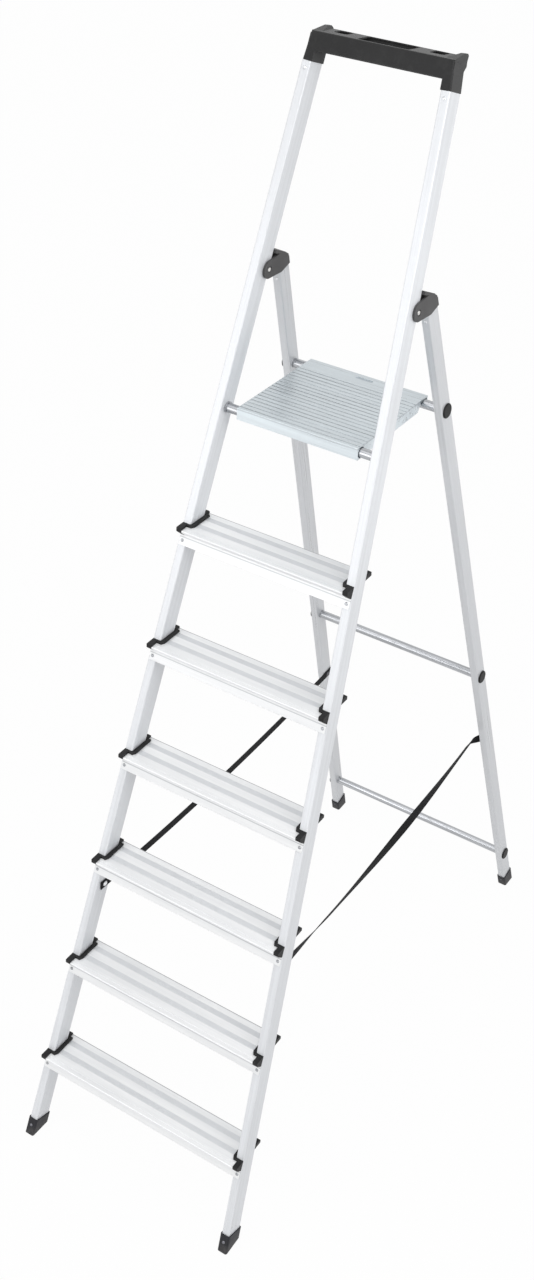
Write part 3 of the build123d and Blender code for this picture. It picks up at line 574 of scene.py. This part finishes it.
@dataclass(frozen=True)
class MouldedPlastic(Finish):
    """Moulded plastic with a spark-eroded grain, faint flow clouds and edges rubbed paler."""

    contrast: Range = (0.85, 1.15)
    grain: Pattern = Pattern(1400.0)
    cell_scale: float = 840.0
    grain_range: Range = (0.3, 1.2)
    grain_rough: Range = (-0.08, 0.1)
    grain_strength: float = 0.35
    grain_depth: float = 0.00012
    flow: Pattern = Pattern(22.0, 3.0, stretch=(0.4, 1.0, 1.0))
    edge: float = 0.0008
    edge_share: float = 0.3
    edge_shade: float = 3.5
    dust: Pattern = Pattern(60.0, 5.0, 0.7)
    dust_range: Range = (0.45, 0.75)
    dust_share: float = 0.12
    dust_colour: Colour = (0.3, 0.3, 0.3)

    def paint(self, sheet: Sheet) -> None:
        """Lays out the plastic's nodes."""
        place = sheet.place()
        cells = sheet.node("TexVoronoi", feature="SMOOTH_F1")
        sheet.feed(cells.inputs["Vector"], place)
        cells.inputs["Scale"].default_value = self.cell_scale
        grain = sheet.math("ADD", sheet.noise(place, self.grain), cells.outputs["Distance"])
        clouds = sheet.span(sheet.noise(place, self.flow), NOISE, SHARE)
        colour = sheet.mix(clouds, *tones(self.colour, self.contrast))
        dust = sheet.noise(place, self.dust)
        film = sheet.span(dust, self.dust_range, (0.0, self.dust_share))
        colour = sheet.mix(film, colour, self.dust_colour)
        normal, wear = sheet.edges(self.edge)
        rubbed = sheet.math("MULTIPLY", wear, self.edge_share)
        sheet.set("Base Color", sheet.mix(rubbed, colour, shade(self.colour, self.edge_shade)))
        rough = self.rough(sheet, grain, self.grain_range, self.grain_rough)
        sheet.set("Roughness", sheet.math("ADD", rough, film))
        sheet.set("Normal", sheet.bump(grain, self.grain_strength, self.grain_depth, normal))


@dataclass(frozen=True)
class BootRubber(Finish):
    """Moulded boot rubber: fine grain, and dust from the floor low down."""

    contrast: Range = (0.85, 1.2)
    grain: Pattern = Pattern(1600.0, 3.0, 0.6)
    grain_strength: float = 0.4
    grain_depth: float = 0.00015
    bloom: Pattern = Pattern(90.0, 4.0, 0.65)
    bloom_rough: Range = (-0.06, 0.1)
    edge: float = 0.0008
    edge_share: float = 0.25
    edge_shade: float = 3.0
    dust_top: float = 0.03
    dust_fade: Range = (0.35, 0.03)
    dust_patches: Range = (0.2, 1.0)
    dust_colour: Colour = (0.2, 0.19, 0.18)

    def paint(self, sheet: Sheet) -> None:
        """Lays out the rubber's nodes."""
        place = sheet.place()
        grain = sheet.noise(place, self.grain)
        bloom = sheet.noise(place, self.bloom)
        clouds = sheet.span(bloom, NOISE, SHARE)
        colour = sheet.mix(clouds, *tones(self.colour, self.contrast))
        low = sheet.span(sheet.axes(place)["Z"], (0.0, self.dust_top), self.dust_fade)
        dust = sheet.math("MULTIPLY", low, sheet.span(bloom, MID_NOISE, self.dust_patches))
        colour = sheet.mix(dust, colour, self.dust_colour)
        normal, wear = sheet.edges(self.edge)
        rubbed = sheet.math("MULTIPLY", wear, self.edge_share)
        sheet.set("Base Color", sheet.mix(rubbed, colour, shade(self.colour, self.edge_shade)))
        sheet.set("Roughness", self.rough(sheet, bloom, NOISE, self.bloom_rough))
        sheet.set("Normal", sheet.bump(grain, self.grain_strength, self.grain_depth, normal))


@dataclass(frozen=True)
class WovenWebbing(Finish):
    """Flat webbing: plain weave on the strap's own UV map, in metres, with a soft nap."""

    contrast: Range = (0.5, 1.35)
    pick: float = 0.0021
    cord: float = 0.0013
    weave_light_and_shade_range: Range = (0.1, 1.1)
    fibres: Pattern = Pattern(2600.0, 3.0, 0.6, (1.0, 0.15, 1.0))
    fibre_height: float = 0.35
    fibre_rough: Range = (-0.08, 0.08)
    fade: Pattern = Pattern(24.0, 3.0)
    fade_range: Range = (0.45, 0.75)
    fade_share: float = 0.25
    fade_shade: float = 2.2
    relief: float = 0.6
    relief_depth: float = 0.0004

    def paint(self, sheet: Sheet) -> None:
        """Lays out the weave's nodes."""
        axes = sheet.axes(sheet.node("UVMap", uv_map="weave").outputs[0])
        column = sheet.math("DIVIDE", axes["Y"], self.cord)
        odd = sheet.math("MULTIPLY", sheet.math("FLOOR", column), pi)
        phase = sheet.math("MULTIPLY", axes["X"], 2.0 * pi / self.pick)
        wave = sheet.math("SINE", sheet.math("ADD", phase, odd))
        over = sheet.span(wave, (-1.0, 1.0), SHARE)
        across = sheet.math("MULTIPLY", sheet.math("FRACT", column), pi)
        weave = sheet.math("MULTIPLY", over, sheet.math("SINE", across))
        place = sheet.place()
        fibres = sheet.noise(place, self.fibres)
        height = sheet.math("ADD", weave, sheet.math("MULTIPLY", fibres, self.fibre_height))
        # The weave's hollows painted darker and its raised cords lighter: painted shade and
        # highlight.
        weave_light_and_shade = sheet.span(height, self.weave_light_and_shade_range, SHARE)
        colour = sheet.mix(weave_light_and_shade, *tones(self.colour, self.contrast))
        faded = sheet.span(sheet.noise(place, self.fade), self.fade_range, (0.0, self.fade_share))
        sheet.set("Base Color", sheet.mix(faded, colour, shade(self.colour, self.fade_shade)))
        sheet.set("Roughness", self.rough(sheet, fibres, NOISE, self.fibre_rough))
        sheet.set("Normal", sheet.bump(height, self.relief, self.relief_depth))


ALUMINIUM: Colour = (0.75, 0.765, 0.79)
ACROSS: Triple = (1.0, 0.0, 0.0)


def stile_finish(side: Side) -> ExtrudedAluminium:
    """Finish of a front stile, with its lines along the stile."""
    run = (side.value * SPLAY, LEAN_FRONT, 1.0)
    name = f"stile_aluminium_{side.name.lower()}"
    return ExtrudedAluminium(name, ALUMINIUM, roughness=0.5, metallic=0.32, run=run)


def leg_finish(side: Side) -> ExtrudedAluminium:
    """Finish of a rear leg, with its lines along the leg."""
    return ExtrudedAluminium(
        f"leg_aluminium_{side.name.lower()}",
        # A darker copy of the stiles' aluminium: painted shade on the legs.
        shade(ALUMINIUM, 0.84),
        roughness=0.38,
        metallic=0.4,
        run=(side.value * SPLAY, LEAN_REAR, 1.0),
        streak_share=0.09,
    )


# Grip bands darkened with dirt and painted shade of their fine grooves.
GRIP_BANDS = GrooveRows(
    first=FRONT_FACE + 0.013, pitch=0.031, count=2, half=0.0064, tone=0.75, lean=LEAN_FRONT
)
# A painted shade line along each tread's rear edge.
REAR_EDGE_SHADE = GrooveRows(
    first=FRONT_FACE + TREAD_REAR - 0.0014,
    pitch=0.2,
    count=1,
    half=0.001,
    tone=0.4,
    lean=LEAN_FRONT,
)
# A painted shadow line on each tread's flange, just under its nose.
NOSE_SHADOW_LINE = GrooveRows(
    first=0.1918, pitch=TREAD_RISE, count=TREAD_COUNT, half=0.0011, tone=0.62, upright=True
)
# The deck's grooves drawn as dark lines: dirt and painted shade in them.
DECK_GROOVES = GrooveRows(
    first=-0.1082, pitch=0.0122, count=18, half=0.0011, tone=0.38, swept=0.15
)
# Painted shade in the floor of the deck's finger recess.
FINGER_RECESS_SHADE = GrooveRows(
    first=1.6212, pitch=0.2, count=1, half=0.0003, tone=0.72, upright=True, edge=0.0002
)
TREAD = ExtrudedAluminium(
    "tread_metal",
    # A lighter copy of the stiles' aluminium: painted light on the treads.
    shade(ALUMINIUM, 1.25),
    roughness=0.45,
    metallic=0.35,
    run=ACROSS,
    rows=(GRIP_BANDS, REAR_EDGE_SHADE, NOSE_SHADOW_LINE),
)
DECK = ExtrudedAluminium(
    "deck_metal",
    (0.725, 0.785, 0.825),
    roughness=0.36,
    metallic=0.6,
    run=ACROSS,
    # Streaks along X: mill streaks and painted reflection on the deck's top.
    streak_share=0.14,
    # Pale edges on the deck: edge wear and a painted highlight along its edges.
    edge_share=0.3,
    rows=(DECK_GROOVES, FINGER_RECESS_SHADE),
    # The deck's top face painted darker: painted shade.
    painted_top_shade_height=1.619,
    painted_top_shade=0.84,
)
TUBE = DrawnTube("tube_metal", (0.44, 0.45, 0.47), roughness=0.2, metallic=1.0)
RIVET = FastenerMetal("rivet_metal", (0.8, 0.81, 0.83), roughness=0.32, metallic=0.9)
DULL_RIVET = FastenerMetal("dull_rivet_metal", (0.42, 0.43, 0.45), roughness=0.4, metallic=0.9)
PIN = FastenerMetal("pin_metal", (0.68, 0.67, 0.65), roughness=0.28, metallic=1.0)
SCREW = FastenerMetal("dark_screw_metal", (0.09, 0.09, 0.1), roughness=0.4, metallic=1.0)
FAINT_SCREW = FastenerMetal("grey_screw_metal", (0.2, 0.2, 0.22), roughness=0.45, metallic=1.0)
TRAY = MouldedPlastic(
    "tray_plastic_grain",
    (0.014, 0.014, 0.0145),
    roughness=0.5,
    gloss=0.25,
    sheen=0.2,
    dust_share=0.03,
)
BRACKET = MouldedPlastic(
    "bracket_plastic_grain",
    (0.06, 0.059, 0.06),
    roughness=0.5,
    gloss=0.3,
    sheen=0.1,
    dust_share=0.06,
)
END = MouldedPlastic(
    "end_plastic_grain", (0.009, 0.009, 0.0095), roughness=0.48, gloss=0.25, dust_share=0.03
)
BOOT = BootRubber(
    "boot_rubber_grain", (0.012, 0.012, 0.016), roughness=0.62, gloss=0.25, sheen=0.1
)
WEBBING = WovenWebbing(
    "strap_weave", (0.009, 0.009, 0.0105), roughness=0.85, gloss=0.12, sheen=0.05
)


class SubAssembly:
    """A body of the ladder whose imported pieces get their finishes."""

    made: ClassVar[dict[Finish, bpy.types.Material]] = {}

    def dress(self, finishes: dict[str, Finish]) -> None:
        """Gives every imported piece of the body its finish.

        Args:
            finishes: Finish by the start of a piece's name; the longest match holds.
        """
        for name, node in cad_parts.items():
            found = [start for start in finishes if name.startswith(start)]
            if not found:
                continue
            finish = finishes[max(found, key=len)]
            if finish not in self.made:
                self.made[finish] = finish.material()
            node.data.materials.clear()
            node.data.materials.append(self.made[finish])
            log.info("piece %s takes %s", name, finish.name)


@dataclass
class FrontFrame(SubAssembly):
    """Stiles, treads with their end pieces, tool tray, front tube, pins and boots."""

    def build(self) -> None:
        """Dresses the front frame's pieces."""
        self.dress(
            {
                "front_stile_left": stile_finish(Side.LEFT),
                "front_stile_right": stile_finish(Side.RIGHT),
                "step_": TREAD,
                "step_end": END,
                "step_rivets": DULL_RIVET,
                "top_tray": TRAY,
                "tray_rivets": RIVET,
                "platform_front_tube": TUBE,
                "hinge_pin": PIN,
                "front_foot": BOOT,
                "front_foot_screws": FAINT_SCREW,
                "strap_rivets_front": RIVET,
            }
        )


@dataclass
class RearFrame(SubAssembly):
    """Legs, hinge brackets, cross tubes with their plugs, and boots."""

    def build(self) -> None:
        """Dresses the rear frame's pieces."""
        self.dress(
            {
                "rear_leg_left": leg_finish(Side.LEFT),
                "rear_leg_right": leg_finish(Side.RIGHT),
                "hinge_bracket": BRACKET,
                "bracket_rivets": RIVET,
                "platform_rear_tube": TUBE,
                "middle_brace_tube": TUBE,
                "lower_brace_tube": TUBE,
                "platform_rear_plug": END,
                "middle_brace_plug": END,
                "lower_brace_plug": END,
                "rear_foot": BOOT,
                "rear_foot_screws": SCREW,
                "strap_rivets_rear": SCREW,
            }
        )


@dataclass
class Platform(SubAssembly):
    """Deck, its two rails and their rivets."""

    def build(self) -> None:
        """Dresses the platform's pieces."""
        self.dress({"platform_deck": DECK, "deck_rail": DECK, "deck_rail_rivets": RIVET})


@dataclass
class SpreaderStrap:
    """One webbing strap between a stile and a leg, held by a rivet at each end.

    Lengths are in millimetres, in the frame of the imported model, for the right side. Each turn
    says where along the strap it starts and ends, as shares of its length, and by how many degrees
    it turns.
    """

    side: Side
    turns: tuple[tuple[float, float, float], ...] = ()
    bow: float = 0.0
    front_rivet: Triple = (217.2, -445.3, 608.9)
    rear_rivet: Triple = (217.6, 461.3, 608.9)
    end: float = 14.0
    width: float = 22.0
    thickness: float = 1.3
    sag: float = 25.0
    selvedge: float = 0.35
    selvedge_angle: float = 60.0
    bow_full: float = 0.955
    bow_ends: float = 0.988
    lengthwise: int = 260
    across: int = 10
    fold_axis: Triple = (0.0, 0.99951, 0.0313)
    fold_keep: float = 0.0623

    def length(self) -> float:
        """Length of the flat webbing, in millimetres."""
        return (Vector(self.rear_rivet) - Vector(self.front_rivet)).length + 2.0 * self.end

    def mirror(self) -> Vector:
        """Factors that take a point of the right side to the strap's own side."""
        return Vector((self.side.value, 1.0, 1.0))

    def turned(self, share: float) -> float:
        """Angle by which the webbing has turned about its own length.

        Args:
            share: Place along the strap, from 0 at the stile to 1 at the leg.

        Returns:
            The sum of its turns up to there, in radians.
        """
        done = (degrees * eased(share, start, end) for start, end, degrees in self.turns)
        return radians(sum(done))

    def bowed(self, share: float) -> float:
        """How far the webbing bows inward, in millimetres.

        Args:
            share: Place along the strap, from 0 to 1.

        Returns:
            The bow there.
        """
        grown = self.bow * min(share / self.bow_full, 1.0)
        return grown * (1.0 - eased(share, self.bow_full, self.bow_ends))

    def at(self, share: float, across: float) -> Vector:
        """A point of the webbing's middle layer.

        Args:
            share: Place along the strap, from 0 to 1.
            across: Place across it in millimetres, from the middle.

        Returns:
            The point in metres.
        """
        start, finish = Vector(self.front_rivet), Vector(self.rear_rivet)
        along = (finish - start).normalized()
        up = Vector((SPLAY, 0.0, 1.0)).normalized()
        out = along.cross(up).normalized()
        span = self.length()
        lift = 4.0 * self.sag * self.end * (span - self.end) / span**2
        drop = 4.0 * self.sag * share * (1.0 - share) - lift
        angle = self.turned(share)
        wide = cos(angle) * up - sin(angle) * out
        middle = start + along * (share * span - self.end) - up * drop - out * self.bowed(share)
        return (middle + wide * across) * self.mirror() * MM

    def woven(self, name: str) -> bpy.types.Mesh:
        """Makes the webbing's mesh: a bent sheet with thickness and rounded selvedges.

        Args:
            name: The mesh's name.

        Returns:
            The mesh, with its weave's UV map in metres.
        """
        bm = bmesh.new()
        weave = bm.loops.layers.uv.new("weave")
        bmesh.ops.create_grid(bm, x_segments=self.lengthwise, y_segments=self.across, size=0.5)
        low = min(v.co.x for v in bm.verts)
        size = max(v.co.x for v in bm.verts) - low
        corner = Vector((low, low))
        for face in bm.faces:
            face.smooth = True
            for loop in face.loops:
                share, across = (loop.vert.co.xy - corner) / size
                loop[weave].uv = (share * self.length() * MM, across * self.width * MM)
        for vert in bm.verts:
            share, across = (vert.co.xy - corner) / size
            vert.co = self.at(share, (across - 0.5) * self.width)
        if self.side is Side.LEFT:
            bmesh.ops.reverse_faces(bm, faces=bm.faces)
        bmesh.ops.recalc_face_normals(bm, faces=bm.faces)
        bmesh.ops.solidify(bm, geom=bm.faces[:], thickness=self.thickness * MM)
        edges = [e for e in bm.edges if e.calc_face_angle(0.0) > radians(self.selvedge_angle)]
        bmesh.ops.bevel(
            bm,
            geom=edges,
            offset=self.selvedge * MM,
            offset_type="OFFSET",
            affect="EDGES",
            segments=2,
            profile=0.5,
            material=-1,
        )
        mesh = bpy.data.meshes.new(name)
        bm.to_mesh(mesh)
        bm.free()
        return mesh

    def build(self, webbing: bpy.types.Material) -> bpy.types.Object:
        """Args:
            webbing: Its material.

        Returns:
            The strap's object.
        """
        name = f"webbing_strap_{self.side.name.lower()}"
        mesh = self.woven(name)
        mesh.materials.append(webbing)
        strap = bpy.data.objects.new(name, mesh)
        bpy.context.scene.collection.objects.link(strap)
        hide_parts(f"strap_{self.side.name.lower()}")
        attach(strap, "front_frame")
        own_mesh(strap)
        log.info("piece %s woven, %.0f mm long", name, self.length())
        return strap


@dataclass(frozen=True)
class Softbox:
    """A square lamp: where it hangs, what it faces and its side in metres, its power in watts."""

    name: str
    place: Triple
    aim: Triple
    size: float
    power: float

    def build(self) -> None:
        """Hangs the lamp, out of the camera's sight."""
        data = bpy.data.lights.new(self.name, "AREA")
        data.shape = "SQUARE"
        data.size = self.size
        data.energy = self.power
        lamp = bpy.data.objects.new(self.name, data)
        lamp.location = self.place
        lamp.visible_camera = False
        facing = Vector(self.aim) - Vector(self.place)
        lamp.rotation_euler = facing.to_track_quat("-Z", "Y").to_euler()
        bpy.context.scene.collection.objects.link(lamp)


@dataclass
class Studio:
    """Plain pale floor, soft lights, white surroundings and the camera."""

    azimuth: float = 31.35
    elevation: float = 34.43
    roll: float = 2.68
    position: Triple = (1.337, -2.3605, 3.018)
    lens: float = 44.94
    sensor: float = 36.0
    shift: tuple[float, float] = (-0.00577, -0.02797)
    floor_size: float = 40.0
    floor_colour: Colour = (0.75, 0.75, 0.75)
    floor_white: float = 0.97
    floor_mottle: Pattern = Pattern(3.0, 4.0)
    floor_contrast: Range = (0.99, 1.01)
    floor_roughness: float = 0.9
    sky: float = 0.5
    key_strength: float = 1.06
    key_angle: float = 70.0
    key_direction: Triple = (-0.12, 0.5, -0.86)
    softboxes: tuple[Softbox, ...] = (
        Softbox("right_softbox", (1.7, -0.3, 2.5), (0.15, 0.0, 1.7), 1.0, 15.0),
        Softbox("front_softbox", (-0.8, -2.0, 1.9), (-0.05, -0.2, 1.3), 1.2, 10.0),
    )

    def camera(self) -> None:
        """Puts the camera at the photograph's viewing angle."""
        az, el, roll = (radians(a) for a in (self.azimuth, self.elevation, self.roll))
        ahead = Vector((-sin(az) * cos(el), cos(az) * cos(el), -sin(el)))
        level = Vector((cos(az), sin(az), 0.0))
        over = level.cross(ahead)
        right = cos(roll) * level + sin(roll) * over
        up = cos(roll) * over - sin(roll) * level
        data = bpy.data.cameras.new("camera")
        data.sensor_fit = "AUTO"
        data.sensor_width = self.sensor
        data.lens = self.lens
        data.shift_x, data.shift_y = self.shift
        camera = bpy.data.objects.new("camera", data)
        camera.matrix_world = Matrix((right, up, -ahead)).transposed().to_4x4()
        camera.matrix_world.translation = self.position
        bpy.context.scene.collection.objects.link(camera)
        bpy.context.scene.camera = camera

    def seen(self, tree: bpy.types.NodeTree) -> Socket:
        """A number that is 1 for camera, glossy and transmission rays, which show the background.

        Args:
            tree: Node tree that gets the nodes.

        Returns:
            The number's socket.
        """
        path = tree.nodes.new("ShaderNodeLightPath")
        total = path.outputs["Is Camera Ray"]
        for name in ("Is Glossy Ray", "Is Transmission Ray"):
            larger = tree.nodes.new("ShaderNodeMath")
            larger.operation = "MAXIMUM"
            tree.links.new(total, larger.inputs[0])
            tree.links.new(path.outputs[name], larger.inputs[1])
            total = larger.outputs[0]
        return total

    def world(self) -> None:
        """White surroundings: strength 1 where they are seen, less where they light the ladder."""
        world = bpy.data.worlds.new("studio")
        bpy.context.scene.world = world
        world.use_nodes = True
        tree = world.node_tree
        strength = tree.nodes.new("ShaderNodeMapRange")
        tree.links.new(self.seen(tree), strength.inputs["Value"])
        strength.inputs["To Min"].default_value = self.sky
        strength.inputs["To Max"].default_value = 1.0
        background = tree.nodes["Background"]
        background.inputs["Color"].default_value = (*WHITE, 1.0)
        tree.links.new(strength.outputs[0], background.inputs["Strength"])

    def floor(self) -> None:
        """Lays the floor, which keeps the ladder's soft shadow."""
        bm = bmesh.new()
        bmesh.ops.create_grid(bm, x_segments=4, y_segments=4, size=self.floor_size / 2.0)
        mesh = bpy.data.meshes.new("studio_floor")
        bm.to_mesh(mesh)
        bm.free()
        material = bpy.data.materials.new("studio_floor_paint")
        material.use_nodes = True
        sheet = Sheet(material)
        mottle = sheet.noise(sheet.place(), self.floor_mottle)
        pair = tones(self.floor_colour, self.floor_contrast)
        sheet.set("Base Color", sheet.mix(mottle, *pair))
        sheet.set("Roughness", self.floor_roughness)
        sheet.set("Specular IOR Level", 0.0)
        white = sheet.node("Emission")
        blend = sheet.node("MixShader")
        share = sheet.math("MULTIPLY", self.seen(sheet.tree), self.floor_white)
        sheet.feed(blend.inputs[0], share)
        sheet.feed(blend.inputs[1], sheet.shader.outputs[0])
        sheet.feed(blend.inputs[2], white.outputs[0])
        sheet.feed(sheet.tree.nodes["Material Output"].inputs["Surface"], blend.outputs[0])
        mesh.materials.append(material)
        floor = bpy.data.objects.new("studio_floor", mesh)
        bpy.context.scene.collection.objects.link(floor)

    def lights(self) -> None:
        """A wide soft key from above the front, and softboxes at the right and in front."""
        data = bpy.data.lights.new("key", "SUN")
        data.energy = self.key_strength
        data.angle = radians(self.key_angle)
        key = bpy.data.objects.new("key", data)
        key.rotation_euler = Vector(self.key_direction).to_track_quat("-Z", "Y").to_euler()
        bpy.context.scene.collection.objects.link(key)
        for softbox in self.softboxes:
            softbox.build()

    def build(self) -> None:
        """Sets up the whole studio."""
        bpy.context.scene.view_settings.view_transform = "Standard"
        self.camera()
        self.world()
        self.floor()
        self.lights()
        log.info("studio set up")


def main() -> None:
    """Builds every sub-assembly in order."""
    logging.basicConfig(level=logging.INFO, format="%(name)s: %(message)s")
    for assembly in (FrontFrame(), RearFrame(), Platform()):
        assembly.build()
    webbing = WEBBING.material()
    SpreaderStrap(Side.LEFT, sag=20.0).build(webbing)
    twist = ((0.02, 0.24, -36.0), (0.24, 0.62, -35.0), (0.58, 0.95, 36.0), (0.94, 0.985, 35.0))
    SpreaderStrap(Side.RIGHT, twist, bow=15.4).build(webbing)
    Studio().build()


if __name__ == "__main__":
    main()
